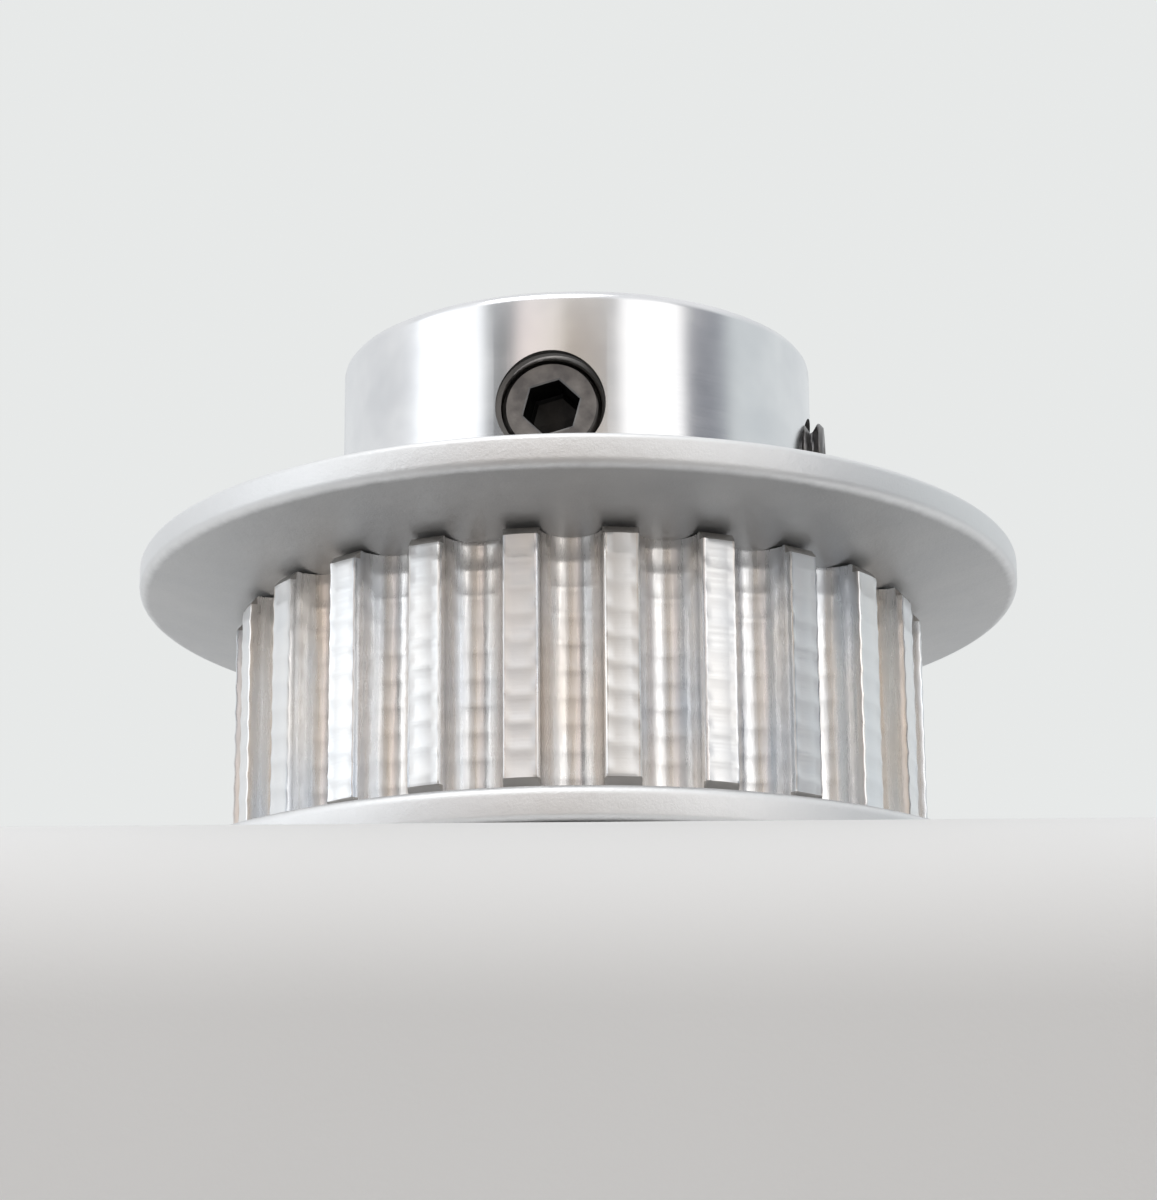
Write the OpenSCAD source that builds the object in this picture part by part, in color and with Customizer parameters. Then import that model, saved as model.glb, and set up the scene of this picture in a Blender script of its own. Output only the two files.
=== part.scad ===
// Timing belt pulley: toothed aluminium body, two pressed flanges, two cup-point set screws.
// Millimetres. Z is the shaft axis, z = 0 is the plain end face, the hub points up.

/* [Belt teeth] */
// Number of belt grooves round the rim
teeth = 23; // [16:1:32]
// Belt pitch, measured along the pitch line
belt_pitch = 3; // [2:0.5:5]
// Radial distance from the tooth tips out to the pitch line
pitch_line_offset = 0.381; // [0.2:0.01:0.6]
// Groove depth below the tooth tips
groove_depth = 1.28; // [1:0.01:1.5]
// Radius of the round groove bottom
groove_r = 0.9; // [0.7:0.01:1.1]
// Width of the groove mouth at the tooth tips
groove_mouth_w = 1.98; // [1.7:0.01:2.2]
// Toothed length between the two flanges
face_w = 7.6; // [6:0.1:10]
// Chamfer on the tooth tips at both ends of the teeth
tooth_chamfer = 0.25; // [0.05:0.05:0.5]
// Angle of the nearest tooth from the front set screw
tooth_phase = -2.65; // [-8:0.05:8]

/* [Flanges] */
// Outside diameter of both flanges
flange_d = 27.2; // [24:0.1:30]
// Sheet thickness of the flanges
flange_t = 1; // [0.6:0.1:1.6]
// How far the rim leans away from the belt
flange_dish = 0.75; // [0.4:0.05:1.6]
// Radius where the flat middle of the flange ends and the dish begins
flange_flat_r = 9.6; // [9:0.1:11.5]
// Small chamfer on the rim edges
flange_edge = 0.15; // [0.05:0.05:0.3]

/* [Body] */
// Diameter of the turned seats that carry the flanges
seat_d = 17.6; // [16:0.1:18.4]
// Diameter of the rolled-over lips that hold the flanges
lip_d = 18.3; // [17.8:0.1:19]
// Height of the rolled-over lips
lip_h = 0.35; // [0.2:0.05:0.6]
// Distance from the end face to the first flange
end_boss_h = 0.85; // [0.7:0.05:2]
// Chamfer round the end boss and the lips
boss_chamfer = 0.3; // [0.1:0.05:0.5]

/* [Hub] */
// Hub diameter
hub_d = 14.7; // [12:0.1:17]
// Hub length above the hub flange
hub_h = 7.45; // [5:0.05:10]
// Chamfer on the free edge of the hub
hub_chamfer = 0.35; // [0.1:0.05:0.8]
// Shaft bore diameter
bore_d = 6.35; // [5:0.05:8]
// Chamfer at both ends of the bore
bore_chamfer = 0.4; // [0.1:0.05:0.8]

/* [Set screws] */
// Thread outside diameter
screw_d = 2.96; // [2.5:0.01:4]
// Diameter of the tapped hole at the thread roots
screw_hole_d = 3.04; // [2.6:0.01:4.1]
// Screw length
screw_l = 3; // [2:0.5:5]
// Height of the screw axis above the end face
screw_z = 14.3; // [12:0.1:16]
// How far the front screw sits below the hub surface
front_screw_sink = 0.4; // [0:0.05:1]
// How far the side screw stands out of the hub surface
side_screw_proud = 0.44; // [0:0.02:1]
// Width across flats of the hexagon socket
socket_af = 1.5; // [1.2:0.1:2]
// Depth of the hexagon socket
socket_depth = 1.3; // [1:0.1:2]
// Turn of the front screw's socket, clockwise seen from outside
front_socket_turn = 15; // [-30:1:30]
// Diameter of the cup at the tip
cup_d = 1.5; // [1:0.1:2]
// Diameter of the plain mouth of each tapped hole
hole_mouth_d = 3.3; // [3.1:0.05:3.6]

/* [Hidden] */
$fn = 96;
tiny = 0.01;
over = 1;
tip_d = teeth * belt_pitch / PI - 2 * pitch_line_offset;
tip_r = tip_d / 2;
tooth_step = 360 / teeth;
groove_centre_r = tip_r - groove_depth + groove_r;
throat_half_w = 0.84;
shoulder_half_w = 0.908;
shoulder_drop = 0.18;
teeth_z = end_boss_h + flange_t;
hub_flange_z = teeth_z + face_w;
hub_base_z = hub_flange_z + flange_t;
total_h = hub_base_z + hub_h;
hub_r = hub_d / 2;
bore_r = bore_d / 2;
socket_corner_d = socket_af / cos(30);
screw_chamfer = 0.12;
tip_chamfer = (screw_d - cup_d) / 2;
cup_depth = 0.4;
hole_mouth_depth = 0.3;
front_screw_out_r = hub_r - front_screw_sink;
side_screw_out_r = hub_r + side_screw_proud;

// One groove of the belt profile: round bottom, slightly flared sides, eased mouth.
module groove() {
    translate([groove_centre_r, 0, teeth_z - over])
        cylinder(r = groove_r, h = face_w + 2 * over);
    translate([groove_centre_r, 0, teeth_z - over])
        linear_extrude(face_w + 2 * over)
            polygon([
                [0, -throat_half_w],
                [tip_r - shoulder_drop - groove_centre_r, -shoulder_half_w],
                [tip_r - groove_centre_r, -groove_mouth_w / 2],
                [tip_r - groove_centre_r + over, -groove_mouth_w / 2 - over],
                [tip_r - groove_centre_r + over, groove_mouth_w / 2 + over],
                [tip_r - groove_centre_r, groove_mouth_w / 2],
                [tip_r - shoulder_drop - groove_centre_r, shoulder_half_w],
                [0, throat_half_w]
            ]);
}

// Barrel with chamfered ends and the belt grooves cut along its whole length.
module toothed_barrel() {
    difference() {
        rotate_extrude()
            polygon([
                [0, teeth_z],
                [tip_r - tooth_chamfer, teeth_z],
                [tip_r, teeth_z + tooth_chamfer],
                [tip_r, hub_flange_z - tooth_chamfer],
                [tip_r - tooth_chamfer, hub_flange_z],
                [0, hub_flange_z]
            ]);
        for (i = [0 : teeth - 1])
            rotate([0, 0, -90 + tooth_phase + (i + 0.5) * tooth_step])
                groove();
    }
}

// Turned profile of the body without teeth: end boss, seats, lips and hub.
module turned_core() {
    rotate_extrude()
        polygon([
            [0, 0],
            [seat_d / 2 - boss_chamfer, 0],
            [seat_d / 2, boss_chamfer],
            [seat_d / 2, end_boss_h - lip_h],
            [lip_d / 2, end_boss_h - lip_h / 2],
            [lip_d / 2, end_boss_h],
            [seat_d / 2, end_boss_h],
            [seat_d / 2, hub_base_z],
            [lip_d / 2, hub_base_z],
            [lip_d / 2, hub_base_z + lip_h / 2],
            [seat_d / 2, hub_base_z + lip_h],
            [hub_r + boss_chamfer, hub_base_z + lip_h],
            [hub_r, hub_base_z + lip_h + boss_chamfer],
            [hub_r, total_h - hub_chamfer],
            [hub_r - hub_chamfer, total_h],
            [0, total_h]
        ]);
}

// Shaft bore with a chamfer at each end.
module shaft_bore() {
    translate([0, 0, -over])
        cylinder(r = bore_r, h = total_h + 2 * over);
    translate([0, 0, -tiny])
        cylinder(r1 = bore_r + bore_chamfer + tiny, r2 = bore_r, h = bore_chamfer + tiny);
    translate([0, 0, total_h - bore_chamfer])
        cylinder(r1 = bore_r, r2 = bore_r + bore_chamfer + tiny, h = bore_chamfer + tiny);
}

// One tapped hole from the bore out through the hub, drawn along +X.
module tapped_hole() {
    translate([0, 0, screw_z])
        rotate([0, 90, 0])
            cylinder(d = screw_hole_d, h = hub_r + over);
    translate([hub_r - hole_mouth_depth, 0, screw_z])
        rotate([0, 90, 0])
            cylinder(d = hole_mouth_d, h = hole_mouth_depth + over);
}

module pulley_body() {
    color([0.82, 0.82, 0.83])
        difference() {
            union() {
                turned_core();
                toothed_barrel();
            }
            shaft_bore();
            tapped_hole();
            rotate([0, 0, -90])
                tapped_hole();
        }
}

// Dished ring, lying on z = 0 with its rim leaning up.
module flange_ring() {
    rotate_extrude()
        polygon([
            [seat_d / 2, 0],
            [flange_flat_r, 0],
            [flange_d / 2 - flange_edge, flange_dish],
            [flange_d / 2, flange_dish + flange_edge],
            [flange_d / 2, flange_dish + flange_t - flange_edge],
            [flange_d / 2 - flange_edge, flange_dish + flange_t],
            [flange_flat_r, flange_t],
            [seat_d / 2, flange_t]
        ]);
}

module hub_flange() {
    color([0.72, 0.73, 0.74])
        translate([0, 0, hub_flange_z])
            flange_ring();
}

module end_flange() {
    color([0.72, 0.73, 0.74])
        translate([0, 0, teeth_z])
            mirror([0, 0, 1])
                flange_ring();
}

// Headless screw along +X, tip at the origin, hexagon socket in the outer end.
module set_screw(socket_turn = 0) {
    rotate([0, 90, 0])
        difference() {
            union() {
                cylinder(d1 = cup_d, d2 = screw_d, h = tip_chamfer);
                translate([0, 0, tip_chamfer])
                    cylinder(d = screw_d, h = screw_l - tip_chamfer - screw_chamfer);
                translate([0, 0, screw_l - screw_chamfer])
                    cylinder(d1 = screw_d, d2 = screw_d - 2 * screw_chamfer, h = screw_chamfer);
            }
            translate([0, 0, -tiny])
                cylinder(d1 = cup_d - 2 * screw_chamfer, d2 = 0, h = cup_depth);
            translate([0, 0, screw_l - socket_depth])
                rotate([0, 0, -socket_turn])
                    cylinder(d = socket_corner_d, h = socket_depth + over, $fn = 6);
        }
}

module front_set_screw() {
    color([0.16, 0.16, 0.17])
        rotate([0, 0, -90])
            translate([front_screw_out_r - screw_l, 0, screw_z])
                set_screw(front_socket_turn);
}

module side_set_screw() {
    color([0.16, 0.16, 0.17])
        translate([side_screw_out_r - screw_l, 0, screw_z])
            set_screw();
}

pulley_body();
hub_flange();
end_flange();
front_set_screw();
side_set_screw();
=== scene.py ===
"""Timing belt pulley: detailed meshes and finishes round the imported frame.

Lengths below are in millimetres until M turns them into metres.
"""

import math

import bmesh
import bpy
from mathutils import Matrix, Vector


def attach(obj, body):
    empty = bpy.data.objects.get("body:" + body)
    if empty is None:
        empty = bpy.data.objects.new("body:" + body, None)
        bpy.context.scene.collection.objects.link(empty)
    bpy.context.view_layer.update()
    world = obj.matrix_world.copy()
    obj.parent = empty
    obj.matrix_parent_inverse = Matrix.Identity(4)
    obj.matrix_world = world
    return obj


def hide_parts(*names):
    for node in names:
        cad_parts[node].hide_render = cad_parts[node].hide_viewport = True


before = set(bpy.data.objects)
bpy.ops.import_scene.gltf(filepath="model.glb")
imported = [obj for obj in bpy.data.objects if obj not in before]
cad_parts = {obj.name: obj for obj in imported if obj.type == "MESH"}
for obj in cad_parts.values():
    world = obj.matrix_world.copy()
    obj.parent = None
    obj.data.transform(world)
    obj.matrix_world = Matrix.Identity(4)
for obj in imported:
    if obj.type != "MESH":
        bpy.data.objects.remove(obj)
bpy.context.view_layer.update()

M = 0.001
TAU = 2 * math.pi

# ---------------------------------------------------------------- sizes, as in the CAD model
TEETH, PITCH, PITCH_LINE_OFFSET = 23, 3.0, 0.381
TIP_R = TEETH * PITCH / TAU - PITCH_LINE_OFFSET
TOOTH_STEP = TAU / TEETH
GROOVE_R, GROOVE_DEPTH = 0.9, 1.28
GROOVE_C = TIP_R - GROOVE_DEPTH + GROOVE_R
PHASE = math.radians(-90 - 2.65)
TOOTH_Z0, TOOTH_Z1, TOOTH_CHAMFER = 1.85, 9.45, 0.25
BOSS_H, SEAT_R, LIP_R, LIP_H = 0.85, 8.8, 9.15, 0.35
FLANGE_R, FLANGE_T, DISH, FLAT_R = 13.6, 1.0, 0.75, 9.6
HUB_R, HUB_BASE, TOP = 7.35, 10.45, 17.9
BORE_R, BORE_CHAMFER = 3.175, 0.4
SCREW_Z, SCREW_L, SCREW_R, SCREW_FACE_R, SOCKET_AF = 14.3, 3.0, 1.48, 1.36, 1.5
FRONT_OUT, SIDE_OUT, FRONT_SOCKET_TURN = HUB_R - 0.4, HUB_R + 0.44, 15
MOUTH_R, MOUTH_DEPTH = 1.65, 0.3

# ---------------------------------------------------------------- sizes of what the CAD leaves out
THREAD_PITCH = 0.5
SCREW_ROOT, SCREW_THREAD = 1.2, 0.28  # root radius and depth of the screws' thread
HOLE_CREST, HOLE_THREAD = 1.5, 0.12  # crest radius and depth of the holes' thread
CROWN = 0.02  # how far the edges of a tooth tip lie below its middle
FEED = 0.79  # spacing of the cutter's feed marks along the teeth
LIP_BEND = 0.18  # height at which a rolled lip turns in

# ---------------------------------------------------------------- the photograph's camera
VIEW_AZ = 6.3  # degrees round from the front screw
CAMERA_R, CAMERA_Z, CAMERA_ROLL = 107.45, -22.2, -0.45
AIM_Z, LIT_Z = 10.4, 9  # heights that the camera and the lamp are aimed at


# ---------------------------------------------------------------- mesh helpers
def filleted(points, radii, steps=4):
    """A closed outline with each corner rounded to its radius."""
    out = []
    n = len(points)
    for i, (p, r) in enumerate(zip(points, radii)):
        p = Vector(p)
        a, b = Vector(points[i - 1]) - p, Vector(points[(i + 1) % n]) - p
        if r <= 0:
            out.append((p.x, p.y))
            continue
        angle = a.angle(b)
        reach = min(r / math.tan(angle / 2), 0.49 * a.length, 0.49 * b.length)
        start, end = p + a.normalized() * reach, p + b.normalized() * reach
        bisector = (a.normalized() + b.normalized()).normalized()
        centre = p + bisector * (reach / math.cos(angle / 2))
        u, v = start - centre, end - centre
        turn = u.angle_signed(v)
        for k in range(steps + 1):
            t = -turn * k / steps
            c, s = math.cos(t), math.sin(t)
            out.append((centre.x + c * u.x - s * u.y, centre.y + s * u.x + c * u.y))
    return out


def rings_to_mesh(name, rings, closed, caps=(None, None), unit=M):
    """Rings of (x, y, z) with the same count, joined in order.

    closed joins the last ring to the first. caps are points that close the two ends.
    """
    bm = bmesh.new()
    made = [[bm.verts.new(Vector(p) * unit) for p in ring] for ring in rings]
    n = len(made[0])
    pairs = list(zip(made, made[1:])) + ([(made[-1], made[0])] if closed else [])
    for lo, hi in pairs:
        for k in range(n):
            bm.faces.new((lo[k], lo[(k + 1) % n], hi[(k + 1) % n], hi[k]))
    for ring, point, flip in ((made[0], caps[0], True), (made[-1], caps[1], False)):
        if point is not None:
            tip = bm.verts.new(Vector(point) * unit)
            for k in range(n):
                a, b = ring[k], ring[(k + 1) % n]
                bm.faces.new((b, a, tip) if flip else (a, b, tip))
    bmesh.ops.recalc_face_normals(bm, faces=bm.faces)
    mesh = bpy.data.meshes.new(name)
    bm.to_mesh(mesh)
    bm.free()
    return mesh


def lathe(name, outline, n, unit=M):
    """An outline of (radius, z) turned round the shaft axis in n steps."""
    rings = [
        [(r * math.cos(TAU * k / n), r * math.sin(TAU * k / n), z) for k in range(n)]
        for r, z in outline
    ]
    return rings_to_mesh(name, rings, True, unit=unit)


def ring_round_x(x, radius, n):
    """A ring of n points round the screws' axis. radius is a number or a function of the angle."""
    ring = []
    for k in range(n):
        a = TAU * k / n
        r = radius(a) if callable(radius) else radius
        ring.append((x, r * math.cos(a), SCREW_Z + r * math.sin(a)))
    return ring


def as_object(name, mesh, sharp=32):
    """The mesh in the scene, shaded smooth but for edges sharper than this many degrees."""
    for p in mesh.polygons:
        p.use_smooth = True
    mesh.set_sharp_from_angle(angle=math.radians(sharp))
    o = bpy.data.objects.new(name, mesh)
    bpy.context.scene.collection.objects.link(o)
    return o


def wave(x):
    """The 60 degree thread form over one pitch: 0 at the root, 1 at the crest, both flat."""
    x = abs(x % 1.0 - 0.5) * 2
    return min(1.0, max(0.0, (x - 0.14) / 0.68))


# ---------------------------------------------------------------- node helpers
def new_material(name, colour, roughness, metallic):
    m = bpy.data.materials.new(name)
    m.use_nodes = True
    bsdf = m.node_tree.nodes["Principled BSDF"]
    bsdf.inputs["Base Color"].default_value = (*colour, 1)
    bsdf.inputs["Roughness"].default_value = roughness
    bsdf.inputs["Metallic"].default_value = metallic
    return m, m.node_tree, bsdf


def math_node(tree, kind, a, b=None):
    n = tree.nodes.new("ShaderNodeMath")
    n.operation = kind
    for i, x in enumerate((a, b)):
        if x is None:
            continue
        if isinstance(x, (int, float)):
            n.inputs[i].default_value = x
        else:
            tree.links.new(x, n.inputs[i])
    return n.outputs[0]


def average(tree, a, b, share_of_a):
    """A mean of two values, with this share of the first."""
    return math_node(
        tree,
        "ADD",
        math_node(tree, "MULTIPLY", a, share_of_a),
        math_node(tree, "MULTIPLY", b, 1 - share_of_a),
    )


def coords(tree):
    """Object coordinates in millimetres: the vector, z, and the distance from the shaft axis."""
    tc = tree.nodes.new("ShaderNodeTexCoord")
    mm = tree.nodes.new("ShaderNodeVectorMath")
    mm.operation = "SCALE"
    mm.inputs["Scale"].default_value = 1 / M
    tree.links.new(tc.outputs["Object"], mm.inputs[0])
    sep = tree.nodes.new("ShaderNodeSeparateXYZ")
    tree.links.new(mm.outputs[0], sep.inputs[0])
    x, y, z = sep.outputs
    squares = [math_node(tree, "MULTIPLY", c, c) for c in (x, y)]
    return mm.outputs[0], z, math_node(tree, "SQRT", math_node(tree, "ADD", *squares))


def noise(tree, vector, scale, detail=3.0, rough=0.55, stretch=None):
    if stretch:
        s = tree.nodes.new("ShaderNodeVectorMath")
        s.operation = "MULTIPLY"
        s.inputs[1].default_value = stretch
        tree.links.new(vector, s.inputs[0])
        vector = s.outputs[0]
    n = tree.nodes.new("ShaderNodeTexNoise")
    n.inputs["Scale"].default_value = scale
    n.inputs["Detail"].default_value = detail
    n.inputs["Roughness"].default_value = rough
    tree.links.new(vector, n.inputs["Vector"])
    return n.outputs["Fac"]


def noise_along(tree, value, scale, detail=3.0):
    """Noise that changes along one coordinate only, such as turning marks."""
    c = tree.nodes.new("ShaderNodeCombineXYZ")
    tree.links.new(value, c.inputs[0])
    return noise(tree, c.outputs[0], scale, detail, 0.7)


def spread(tree, fac, low, high, start=0.3, end=0.7):
    """fac between start and end, stretched to run from low to high."""
    n = tree.nodes.new("ShaderNodeMapRange")
    n.inputs["From Min"].default_value = start
    n.inputs["From Max"].default_value = end
    n.inputs["To Min"].default_value = low
    n.inputs["To Max"].default_value = high
    tree.links.new(fac, n.inputs["Value"])
    return n.outputs["Result"]


def tint(tree, fac, colours):
    """A colour ramp through (position, colour) pairs."""
    n = tree.nodes.new("ShaderNodeValToRGB")
    while len(n.color_ramp.elements) < len(colours):
        n.color_ramp.elements.new(0.5)
    for e, (at, c) in zip(n.color_ramp.elements, colours):
        e.position = at
        e.color = (*c, 1)
    tree.links.new(fac, n.inputs["Fac"])
    return n.outputs["Color"]


def mix_colour(tree, fac, under, over):
    """The colour socket under, turning to the plain colour over as fac goes from 0 to 1."""
    n = tree.nodes.new("ShaderNodeMix")
    n.data_type = "RGBA"
    a, b, result = n.inputs[6], n.inputs[7], n.outputs[2]  # the node's colour sockets
    tree.links.new(fac, n.inputs[0])
    tree.links.new(under, a)
    b.default_value = (*over, 1)
    return result


def bump(tree, bsdf, height, distance_mm, below=None):
    n = tree.nodes.new("ShaderNodeBump")
    n.inputs["Strength"].default_value = 1.0
    n.inputs["Distance"].default_value = distance_mm * M
    tree.links.new(height, n.inputs["Height"])
    if below is not None:
        tree.links.new(below, n.inputs["Normal"])
    tree.links.new(n.outputs[0], bsdf.inputs["Normal"])
    return n.outputs[0]


# ---------------------------------------------------------------- materials
def turned_aluminium(
    name,
    along_radius=False,
    rough=(0.14, 0.25),
    marks=0.0009,
    dull=(0.76, 0.765, 0.78),
    bright=(0.86, 0.86, 0.865),
):
    """Turned aluminium. Its marks are rings round the axis.

    They change along z on a cylinder and along the radius on a face. marks is their depth.
    """
    m, t, b = new_material(name, bright, 0.22, 1.0)
    v, z, r = coords(t)
    across = r if along_radius else z
    fine = noise_along(t, across, 26, 2)
    coarse = noise_along(t, across, 5, 2)
    smear = noise(t, v, 0.55, 2)
    t.links.new(tint(t, smear, [(0.3, dull), (0.7, bright)]), b.inputs["Base Color"])
    t.links.new(spread(t, average(t, fine, smear, 0.6), *rough), b.inputs["Roughness"])
    first = bump(t, b, fine, marks)
    bump(t, b, coarse, marks * 2.2, below=first)
    return m


def cut_aluminium(name):
    """Hobbed grooves: fine streaks along the tooth, and slightly cool and warm patches."""
    m, t, b = new_material(name, (0.84, 0.83, 0.82), 0.25, 1.0)
    v, _, _ = coords(t)
    streaks = noise(t, v, 1.0, 3, 0.6, (7, 7, 0.5))
    patches = noise(t, v, 0.5, 2, 0.5, (1, 1, 0.35))
    cool, plain, warm = (0.77, 0.8, 0.84), (0.86, 0.85, 0.84), (0.87, 0.81, 0.75)
    colour = tint(t, patches, [(0.3, cool), (0.5, plain), (0.7, warm)])
    t.links.new(colour, b.inputs["Base Color"])
    t.links.new(spread(t, streaks, 0.2, 0.38), b.inputs["Roughness"])
    first = bump(t, b, streaks, 0.004)
    bump(t, b, noise(t, v, 9, 3, 0.6), 0.0015, below=first)
    return m


def land_aluminium(name):
    """Tooth tips: the bar's own turned skin, whiter and more diffuse than the grooves."""
    m, t, b = new_material(name, (0.93, 0.93, 0.925), 0.38, 1.0)
    v, z, _ = coords(t)
    rings = noise_along(t, z, 9, 3)
    patches = noise(t, v, 0.8, 2, 0.5, (1, 1, 0.5))
    colour = tint(t, patches, [(0.3, (0.9, 0.915, 0.93)), (0.7, (0.95, 0.94, 0.925))])
    t.links.new(colour, b.inputs["Base Color"])
    t.links.new(spread(t, rings, 0.34, 0.5), b.inputs["Roughness"])
    first = bump(t, b, rings, 0.004)
    bump(t, b, noise(t, v, 10, 3, 0.6), 0.002, below=first)
    return m


def satin_aluminium(name):
    """Stamped and tumbled sheet: satin with a fine grain, small dents, and a rim band painted
    brighter as painted light.
    """
    m, t, b = new_material(name, (0.58, 0.585, 0.59), 0.48, 1.0)
    v, _, r = coords(t)
    cloud = noise(t, v, 0.35, 3)
    grain = noise(t, v, 14, 4, 0.65)
    dents = noise(t, v, 2.4, 2)
    sheet = tint(t, cloud, [(0.3, (0.51, 0.515, 0.52)), (0.7, (0.59, 0.59, 0.59))])
    uneven_r = math_node(t, "ADD", r, math_node(t, "MULTIPLY", dents, 0.16))
    # Painted light: a band at the rim is painted much brighter than the rest of the flange, for the
    # light falling on the rim. The dents make its inner edge uneven.
    painted_lit_rim = spread(t, uneven_r, 0.0, 1.0, FLANGE_R - 0.22, FLANGE_R + 0.02)
    t.links.new(mix_colour(t, painted_lit_rim, sheet, (0.82, 0.825, 0.83)), b.inputs["Base Color"])
    t.links.new(spread(t, average(t, grain, cloud, 0.5), 0.42, 0.58), b.inputs["Roughness"])
    first = bump(t, b, grain, 0.009)
    bump(t, b, dents, 0.012, below=first)
    return m


def black_oxide(name, dark, light):
    """Blackened steel, mottled between two greys."""
    m, t, b = new_material(name, light, 0.36, 0.9)
    v, _, _ = coords(t)
    cloud = noise(t, v, 1.6, 3)
    t.links.new(tint(t, cloud, [(0.35, dark), (0.7, light)]), b.inputs["Base Color"])
    t.links.new(spread(t, cloud, 0.28, 0.48), b.inputs["Roughness"])
    bump(t, b, noise(t, v, 18, 3), 0.004)
    return m


# The pulley body's materials, and the number of each in that order.
BODY_METALS = (
    turned_aluminium("turned_hub"),
    turned_aluminium(
        "turned_face", along_radius=True, rough=(0.24, 0.38), marks=0.0035, dull=(0.8, 0.803, 0.81)
    ),
    cut_aluminium("cut_teeth"),
    land_aluminium("turned_lands"),
    turned_aluminium("reamed_bore", rough=(0.28, 0.42)),
    # Painted shade: a dark grey for the thread down in the tapped holes and for the tooth-tip
    # chamfers, where shade falls.
    turned_aluminium(
        "painted_shade_grey", rough=(0.32, 0.46), dull=(0.36, 0.345, 0.33), bright=(0.5, 0.48, 0.46)
    ),
    # Painted shade: the mouth of each tapped hole round the screw is near black, for the shade in
    # the recess.
    turned_aluminium(
        "hole_mouth_painted_shade", rough=(0.5, 0.62), dull=(0.14, 0.135, 0.13), bright=(0.2, 0.192, 0.185)
    ),
)
HUB, FACE, GROOVE, LAND, BORE, PAINTED_SHADE_GREY, MOUTH = range(len(BODY_METALS))
FLANGE_METAL = satin_aluminium("satin_flange")
SCREW_STEEL = black_oxide("black_oxide_steel", (0.13, 0.128, 0.13), (0.27, 0.26, 0.25))
# Painted shade: the hexagon socket is near black, much darker than the same steel outside it, for
# the shade in the recess.
SOCKET_PAINTED_SHADE = black_oxide("black_oxide_socket_painted_shade", (0.02, 0.02, 0.02), (0.045, 0.044, 0.043))


def add_body_metals(mesh):
    for m in BODY_METALS:
        mesh.materials.append(m)


# ---------------------------------------------------------------- pulley body
def tooth_outline():
    """The barrel's outline as (angle, radius, groove number, on a land).

    Grooves have a round bottom and rounded shoulders. The lands between them are slightly crowned.
    A land's number is half a groove further on, so its feed marks differ from its neighbours'.
    """
    half = []  # one side of a groove: (outward from the centre of its round bottom, sideways)
    arc_end, arc_steps, shoulder_steps, land_steps = math.radians(99.3), 7, 4, 8
    for k in range(arc_steps + 1):
        a = arc_end * k / arc_steps
        half.append((-GROOVE_R * math.cos(a), GROOVE_R * math.sin(a)))
    mouth_half_w = 1.03
    p0 = Vector((0.2, 0.908))
    p1 = Vector((GROOVE_DEPTH - GROOVE_R - 0.01, 0.925))
    p2 = Vector((math.sqrt(TIP_R**2 - mouth_half_w**2) - GROOVE_C, mouth_half_w))
    for k in range(shoulder_steps + 1):
        s = k / shoulder_steps
        q = p0 * (1 - s) ** 2 + p1 * 2 * s * (1 - s) + p2 * s * s
        half.append((q.x, q.y))
    groove = [(u, -w) for u, w in reversed(half)] + half[1:]
    out = []
    edge = math.atan2(mouth_half_w, GROOVE_C + p2.x)
    for i in range(TEETH):
        middle = PHASE + (i + 0.5) * TOOTH_STEP
        for u, w in groove:
            angle = middle + math.atan2(w, GROOVE_C + u)
            out.append((angle, math.hypot(GROOVE_C + u, w), i, False))
        for k in range(1, land_steps):
            angle = middle + edge + (TOOTH_STEP - 2 * edge) * k / land_steps
            off_centre = 2 * k / land_steps - 1
            out.append((angle, TIP_R - CROWN * off_centre**2, i + 0.5, True))
    return out


def feed_mark(z, tooth):
    """How far the cutter's scallop leaves the surface below its ridges at this height."""
    f = (z / FEED + 0.37 * tooth) % 1.0
    depth = 0.03 + 0.006 * math.sin(2.1 * tooth + 1.3 * z)
    return -depth * (1 - (2 * f - 1) ** 2)


def barrel_mesh():
    """The toothed ring alone, with the cutter's feed marks and chamfered tooth tips."""
    outline = tooth_outline()
    inner_r = SEAT_R - 0.5
    rings = [
        [(inner_r * math.cos(a), inner_r * math.sin(a), z) for a, *_ in outline]
        for z in (TOOTH_Z0, TOOTH_Z1)
    ]
    count, chamfer_steps = 76, (0, 0.06, 0.12, 0.19, TOOTH_CHAMFER)
    plain_length = TOOTH_Z1 - TOOTH_Z0 - 2 * TOOTH_CHAMFER
    heights = [TOOTH_Z1 - d for d in chamfer_steps]
    heights += [TOOTH_Z1 - TOOTH_CHAMFER - plain_length * k / count for k in range(1, count)]
    heights += [TOOTH_Z0 + d for d in reversed(chamfer_steps)]
    for z in heights:
        limit = TIP_R - TOOTH_CHAMFER + min(z - TOOTH_Z0, TOOTH_Z1 - z, TOOTH_CHAMFER)
        ring = []
        for a, r, number, _ in outline:
            r = min(r + feed_mark(z, number), limit)
            ring.append((r * math.cos(a), r * math.sin(a), z))
        rings.append(ring)
    mesh = rings_to_mesh("barrel_mesh", rings, True, unit=1.0)
    add_body_metals(mesh)
    n = len(outline)
    for p in mesh.polygons:
        k = p.index % n
        on_land = outline[k][3] or outline[(k + 1) % n][3]
        near_end = min(p.center.z - TOOTH_Z0, TOOTH_Z1 - p.center.z) < TOOTH_CHAMFER
        near_tip = math.hypot(p.center.x, p.center.y) > TIP_R - TOOTH_CHAMFER - 0.06
        # Painted shade: the chamfers at the tooth tips take the dark grey, for the shade where they
        # meet the flanges.
        p.material_index = PAINTED_SHADE_GREY if near_end and near_tip else LAND if on_land else GROOVE
    return mesh


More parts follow.
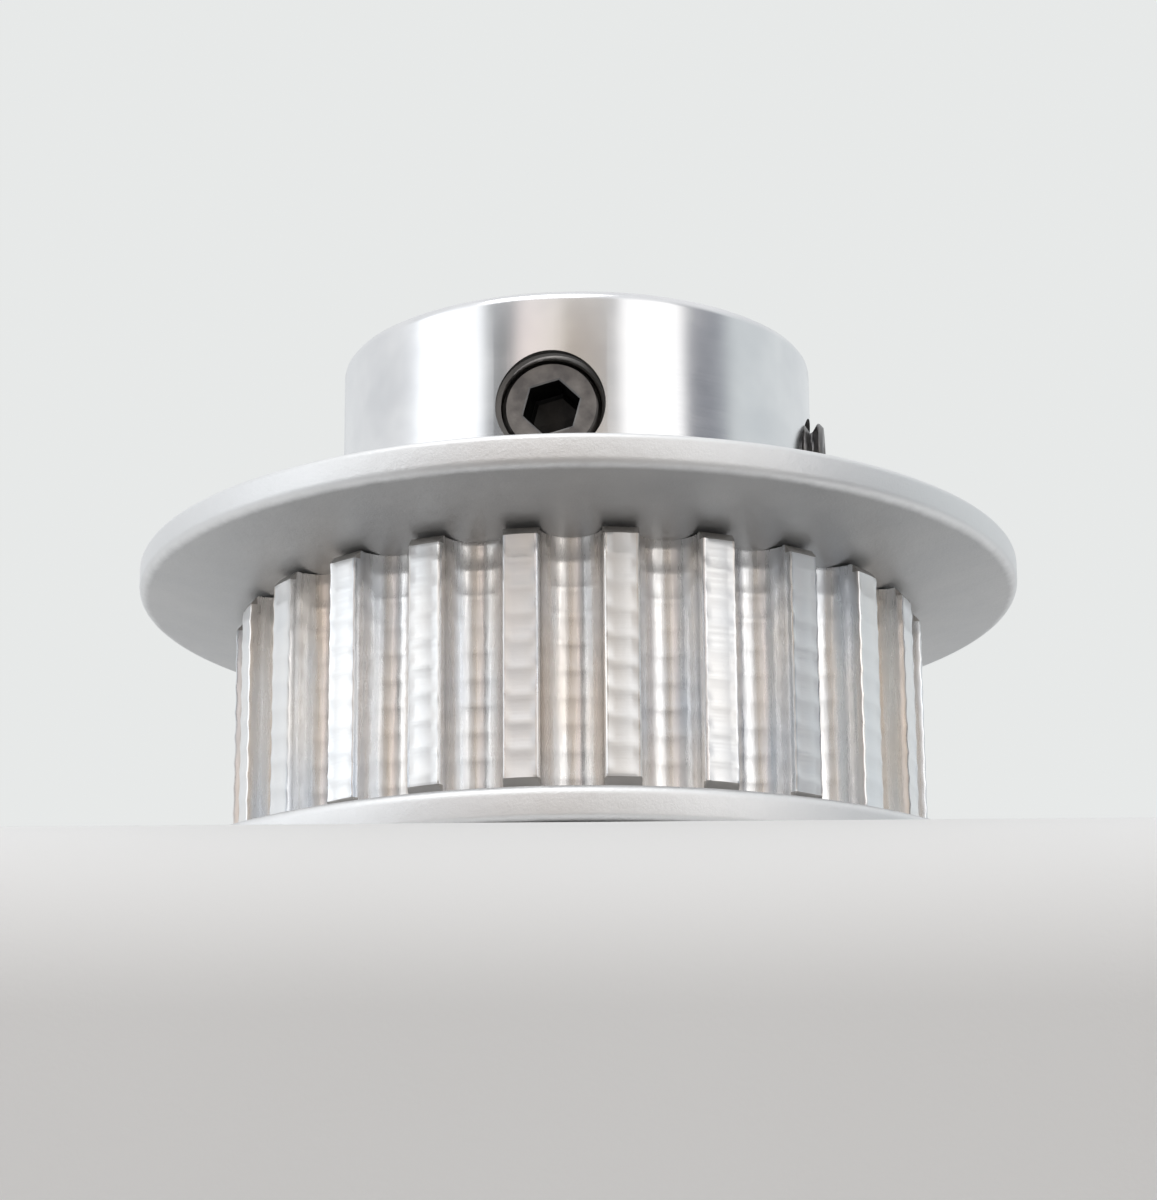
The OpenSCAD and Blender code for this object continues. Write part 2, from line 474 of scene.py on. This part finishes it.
def core_mesh():
    """Everything turned on the lathe: end boss, seats, rolled lips, hub and bore."""
    corners = [  # radius, z, fillet
        (SEAT_R, BOSS_H, 0),
        (LIP_R, BOSS_H, 0.04),
        (LIP_R, BOSS_H - LIP_BEND, 0.07),
        (SEAT_R, BOSS_H - LIP_H, 0.05),
        (SEAT_R, 0.0, 0.28),
        (BORE_R + BORE_CHAMFER, 0.0, 0.04),
        (BORE_R, BORE_CHAMFER, 0.04),
        (BORE_R, TOP - BORE_CHAMFER, 0.04),
        (BORE_R + BORE_CHAMFER, TOP, 0.04),
        (HUB_R, TOP, 0.34),
        (HUB_R, HUB_BASE + LIP_H, 0.25),
        (SEAT_R, HUB_BASE + LIP_H, 0.05),
        (LIP_R, HUB_BASE + LIP_BEND, 0.07),
        (LIP_R, HUB_BASE, 0.04),
        (SEAT_R, HUB_BASE, 0),
    ]
    outline = filleted([(r, z) for r, z, _ in corners], [fillet for *_, fillet in corners])
    mesh = lathe("core_mesh", outline, 320, unit=1.0)
    add_body_metals(mesh)
    for p in mesh.polygons:
        in_bore = math.hypot(p.center.x, p.center.y) < BORE_R + 0.05
        p.material_index = BORE if in_bore else FACE if abs(p.normal.z) > 0.6 else HUB
    return mesh


def tapped_hole_mesh():
    """The shape that one tapped hole takes out of the hub, along +X: a thread and a plain mouth."""

    def thread(x):
        return lambda a: HOLE_CREST + HOLE_THREAD * wave(x / THREAD_PITCH - a / TAU)

    n, rows = 64, []
    start, end, step = BORE_R - 0.9, HUB_R + 0.8, THREAD_PITCH / 10
    x = start
    while x <= end:
        in_mouth = x >= HUB_R - MOUTH_DEPTH
        rows.append(ring_round_x(x, MOUTH_R if in_mouth else thread(x), n))
        x += step
    caps = ((start, 0, SCREW_Z), (rows[-1][0][0], 0, SCREW_Z))
    mesh = rings_to_mesh("tapped_hole_mesh", rows, False, caps, unit=1.0)
    add_body_metals(mesh)
    for p in mesh.polygons:
        # Both parts of the hole are painted dark as painted shade: near black at the mouth, dark
        # grey down the thread.
        p.material_index = MOUTH if p.center.x > HUB_R - MOUTH_DEPTH else PAINTED_SHADE_GREY
    return mesh


def solid_body():
    """Core and barrel joined, and the tapped holes cut.

    That is done at 1 unit to the millimetre, because the cuts need the larger numbers, and then
    scaled. Points closer than merge are joined and faces left lying on each other are deleted.
    """
    body = as_object("pulley_body_uncut", core_mesh())
    tools = [(as_object("barrel", barrel_mesh()), "UNION")]
    for turn in (0, -90):
        mesh = tapped_hole_mesh()
        mesh.transform(Matrix.Rotation(math.radians(turn), 4, "Z"))
        tools.append((as_object(f"cutter_{abs(turn)}", mesh), "DIFFERENCE"))
    for tool, kind in tools:
        step = body.modifiers.new(kind.lower(), "BOOLEAN")
        step.operation, step.solver, step.object = kind, "MANIFOLD", tool
    bpy.context.view_layer.update()
    graph = bpy.context.evaluated_depsgraph_get()
    final = bpy.data.meshes.new_from_object(body.evaluated_get(graph), depsgraph=graph)
    for o in (body, *(tool for tool, _ in tools)):
        bpy.data.objects.remove(o)
    merge = 0.0006
    bm = bmesh.new()
    bm.from_mesh(final)
    bmesh.ops.remove_doubles(bm, verts=bm.verts, dist=merge)
    bmesh.ops.dissolve_degenerate(bm, edges=bm.edges, dist=merge)
    bmesh.ops.triangulate(bm, faces=[f for f in bm.faces if len(f.verts) > 4])
    by_corners = {}
    for f in bm.faces:
        by_corners.setdefault(frozenset(f.verts), []).append(f)
    twins = [f for same in by_corners.values() if len(same) > 1 for f in same]
    bmesh.ops.delete(bm, geom=twins, context="FACES")
    bm.to_mesh(final)
    bm.free()
    final.transform(Matrix.Scale(M, 4))
    return as_object("pulley_body_detail", final)


# ---------------------------------------------------------------- flanges
def flange(name, base, up):
    """Dished stamped ring. base is the height of its face on the belt side.

    up is +1 or -1 for the way its rim leans.
    """
    corners = [  # radius, distance from the belt side, fillet
        (SEAT_R, 0, 0.06),
        (FLAT_R, 0, 1.2),
        (FLANGE_R, DISH, 0.3),
        (FLANGE_R, DISH + FLANGE_T, 0.2),
        (FLAT_R, FLANGE_T, 1.2),
        (SEAT_R, FLANGE_T, 0.12),
    ]
    points = [(r, d) for r, d, _ in corners]
    outline = filleted(points, [fillet for *_, fillet in corners], steps=7)
    mesh = lathe(name + "_mesh", [(r, base + up * d) for r, d in outline], 288)
    mesh.materials.append(FLANGE_METAL)
    return as_object(name, mesh)


# ---------------------------------------------------------------- set screws
def set_screw(name, outer, turn, socket_turn):
    """Headless M3 screw along +X before turning: cup point inward, hexagon socket outward.

    outer is the distance of its flat end from the shaft axis.
    """
    n, tip = 96, outer - SCREW_L
    thread_step = THREAD_PITCH / 12

    def thread(s):
        """Radius at s from the tip. A cone cuts the crests off at both ends.

        The root rises to the flat end over the last part, so the end keeps a round edge.
        """
        tip_r, tip_slope, fade_length = 0.75, 1.1, 0.3
        cone = min(tip_r + s * tip_slope, SCREW_R, SCREW_FACE_R + SCREW_L - s)
        fade = max(0, 1 - (SCREW_L - s) / fade_length)
        root = SCREW_ROOT + (SCREW_FACE_R - SCREW_ROOT) * fade

        def radius(a):
            crest = SCREW_ROOT + SCREW_THREAD * wave((tip + s) / THREAD_PITCH - a / TAU)
            return min(cone, max(root, crest))

        return radius

    def hexagon(across_flats, more=0.0):
        """Radius of the socket's outline, and this much more all round."""
        sixth, half = math.pi / 3, math.pi / 6

        def radius(a):
            from_flat = (a + math.radians(socket_turn) + half) % sixth - half
            return across_flats / 2 / math.cos(from_flat) + more

        return radius

    # (distance from the tip, radius), and (depth below the flat end, radius)
    cup = ((0.32, 0.12), (0.04, 0.62), (0.0, 0.68), (0.0, 0.73), (0.05, 0.8))
    threads = [j * thread_step for j in range(1, int(SCREW_L / thread_step))]
    flat_end = (
        (0.0, SCREW_FACE_R - 0.01),
        (0.0, SCREW_FACE_R - 0.05),
        (0.0, hexagon(SOCKET_AF, 0.07)),
        (0.03, hexagon(SOCKET_AF, 0.02)),
        (0.08, hexagon(SOCKET_AF)),
        (1.2, hexagon(SOCKET_AF)),
        (1.3, hexagon(1.3)),
        (1.38, 0.3),
    )
    rows = [ring_round_x(tip + s, r, n) for s, r in cup]
    rows += [ring_round_x(tip + s, thread(s), n) for s in threads]
    rows += [ring_round_x(outer - depth, r, n) for depth, r in flat_end]
    caps = ((tip + 0.36, 0, SCREW_Z), (outer - 1.42, 0, SCREW_Z))
    mesh = rings_to_mesh(name + "_mesh", rows, False, caps)
    mesh.materials.append(SCREW_STEEL)
    mesh.materials.append(SOCKET_PAINTED_SHADE)
    # The socket's walls and floor take the near black painted shade.
    for p in mesh.polygons:
        off_axis = math.hypot(p.center.y, p.center.z - SCREW_Z * M)
        in_depth = (outer - 1.5) * M < p.center.x < (outer - 0.04) * M
        p.material_index = 1 if in_depth and off_axis < 0.95 * M else 0
    mesh.transform(Matrix.Rotation(math.radians(turn), 4, "Z"))
    return as_object(name, mesh, 28)


# ---------------------------------------------------------------- the pieces
body = solid_body()
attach(body, "pulley")
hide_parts("pulley_body")

for name, node, base, up in (
    ("hub_flange_detail", "hub_flange", TOOTH_Z1, 1),
    ("end_flange_detail", "end_flange", TOOTH_Z0, -1),
):
    ring = flange(name, base, up)
    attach(ring, "pulley")
    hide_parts(node)

for name, node, carrier, outer, turn, socket_turn in (
    ("front_set_screw_detail", "front_set_screw", "front_screw", FRONT_OUT, -90, FRONT_SOCKET_TURN),
    ("side_set_screw_detail", "side_set_screw", "side_screw", SIDE_OUT, 0, 0),
):
    screw = set_screw(name, outer, turn, socket_turn)
    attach(screw, carrier)
    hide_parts(node)


# ---------------------------------------------------------------- stage
def slab():
    """A pale slab with a rounded front edge, square to the camera."""
    front, edge_r, edge_steps, size, depth = -13.2, 6.0, 12, 600.0, 300.0
    line = [(size, 0.0), (200.0, 0.0), (40.0, 0.0), (front, 0.0)]
    for k in range(1, edge_steps + 1):
        a = math.radians(90) * k / edge_steps
        line.append((front - edge_r * math.sin(a), -edge_r + edge_r * math.cos(a)))
    line += [(front - edge_r, -depth), (size, -depth)]
    rings = [[(x, y, z) for y, z in line] for x in (-size, size)]
    mesh = rings_to_mesh("slab_mesh", rings, False)
    mesh.transform(Matrix.Rotation(math.radians(VIEW_AZ), 4, "Z"))
    m, t, b = new_material("slab_paint", (0.76, 0.76, 0.755), 0.65, 0.0)
    v, _, _ = coords(t)
    colour = tint(t, noise(t, v, 0.05, 2), [(0.3, (0.75, 0.75, 0.745)), (0.7, (0.77, 0.77, 0.766))])
    t.links.new(colour, b.inputs["Base Color"])
    bump(t, b, noise(t, v, 5, 3), 0.006)
    mesh.materials.append(m)
    return as_object("slab", mesh)


slab()

# ---------------------------------------------------------------- light
# A pale room with two tall windows, seen in the metal as upright bands: its brightness by
# bearing, in degrees round the shaft axis from the camera towards +X, the picture's right.
ROOM_BANDS = (
    (-180, (1.12, 1.15, 1.17)),
    (-100, (1.1, 1.12, 1.14)),
    (-90, (1.3, 1.33, 1.36)),
    (-84, (2.2, 2.27, 2.34)),
    (-50, (2.2, 2.24, 2.27)),
    (-46, (0.36, 0.37, 0.38)),
    (-33, (0.34, 0.35, 0.35)),
    (-28, (1.35, 1.2, 1.16)),
    (-9, (1.3, 1.2, 1.1)),
    (-5, (0.8, 0.7, 0.6)),
    (12, (0.75, 0.68, 0.62)),
    (20, (0.6, 0.59, 0.58)),
    (24, (2.25, 2.22, 2.19)),
    (54, (2.25, 2.22, 2.19)),
    (58, (0.2, 0.21, 0.25)),
    (76, (0.26, 0.28, 0.33)),
    (86, (0.95, 1.01, 1.03)),
    (180, (1.12, 1.15, 1.17)),
)
ROOM_STRENGTH = 0.72
CEILING = (1.2, 1.21, 1.23)
BACKDROP = (0.8, 0.815, 0.81)  # what the camera itself sees behind the pulley


def room():
    """The world's light. The bands darken below the horizon and give way to the ceiling."""
    w = bpy.data.worlds.new("room")
    bpy.context.scene.world = w
    w.use_nodes = True
    t = w.node_tree
    for n in list(t.nodes):
        t.nodes.remove(n)
    out = t.nodes.new("ShaderNodeOutputWorld")
    tc = t.nodes.new("ShaderNodeTexCoord")
    sep = t.nodes.new("ShaderNodeSeparateXYZ")
    t.links.new(tc.outputs["Generated"], sep.inputs[0])
    x, y, z = sep.outputs
    bearing = math_node(t, "ARCTAN2", x, math_node(t, "MULTIPLY", y, -1.0))
    bearing = math_node(t, "SUBTRACT", bearing, math.radians(VIEW_AZ))
    turns = math_node(t, "DIVIDE", bearing, TAU)
    at = math_node(t, "FRACT", math_node(t, "ADD", turns, 1.5))
    walls = t.nodes.new("ShaderNodeVectorMath")
    walls.operation = "SCALE"
    t.links.new(tint(t, at, [(d / 360 + 0.5, c) for d, c in ROOM_BANDS]), walls.inputs[0])
    t.links.new(spread(t, z, 0.42, 1.0, -0.06, 0.16), walls.inputs["Scale"])
    upward = spread(t, z, 0.0, 1.0, 0.42, 0.85)
    light = t.nodes.new("ShaderNodeBackground")
    t.links.new(mix_colour(t, upward, walls.outputs[0], CEILING), light.inputs["Color"])
    light.inputs["Strength"].default_value = ROOM_STRENGTH
    seen = t.nodes.new("ShaderNodeBackground")
    seen.inputs["Color"].default_value = (*BACKDROP, 1)
    path = t.nodes.new("ShaderNodeLightPath")
    pick = t.nodes.new("ShaderNodeMixShader")
    t.links.new(path.outputs["Is Camera Ray"], pick.inputs[0])
    t.links.new(light.outputs[0], pick.inputs[1])
    t.links.new(seen.outputs[0], pick.inputs[2])
    t.links.new(pick.outputs[0], out.inputs["Surface"])


def area_light(name, bearing, height, distance, size, watts):
    """A soft box aimed at the pulley. bearing and height are its direction in degrees."""
    a, e = math.radians(bearing + VIEW_AZ), math.radians(height)
    way = Vector((math.sin(a) * math.cos(e), -math.cos(a) * math.cos(e), math.sin(e)))
    d = bpy.data.lights.new(name, "AREA")
    d.shape, d.size, d.size_y, d.energy = "RECTANGLE", size[0], size[1], watts
    o = bpy.data.objects.new(name, d)
    o.location = Vector((0, 0, LIT_Z * M)) + way * distance
    o.rotation_mode = "QUATERNION"
    o.rotation_quaternion = way.to_track_quat("Z", "Y")
    bpy.context.scene.collection.objects.link(o)


room()
area_light("top_soft", -25, 62, 0.5, (0.35, 0.3), 0.6)


# ---------------------------------------------------------------- camera
def set_camera():
    """The camera stands where the photograph was taken from, with a longer lens."""
    cam = bpy.data.cameras.new("camera")
    cam.sensor_width = 36
    cam.lens = 108
    cam.clip_start, cam.clip_end = 0.005, 20
    a = math.radians(VIEW_AZ)
    eye = Vector((math.sin(a) * CAMERA_R, -math.cos(a) * CAMERA_R, CAMERA_Z)) * M
    look = (eye - Vector((0, 0, AIM_Z)) * M).to_track_quat("Z", "Y")
    roll = Matrix.Rotation(math.radians(CAMERA_ROLL), 3, "Z").to_quaternion()
    camera = bpy.data.objects.new("camera", cam)
    camera.location = eye
    camera.rotation_mode = "QUATERNION"
    camera.rotation_quaternion = look @ roll
    bpy.context.scene.collection.objects.link(camera)
    bpy.context.scene.camera = camera


set_camera()
bpy.context.scene.view_settings.view_transform = "Standard"
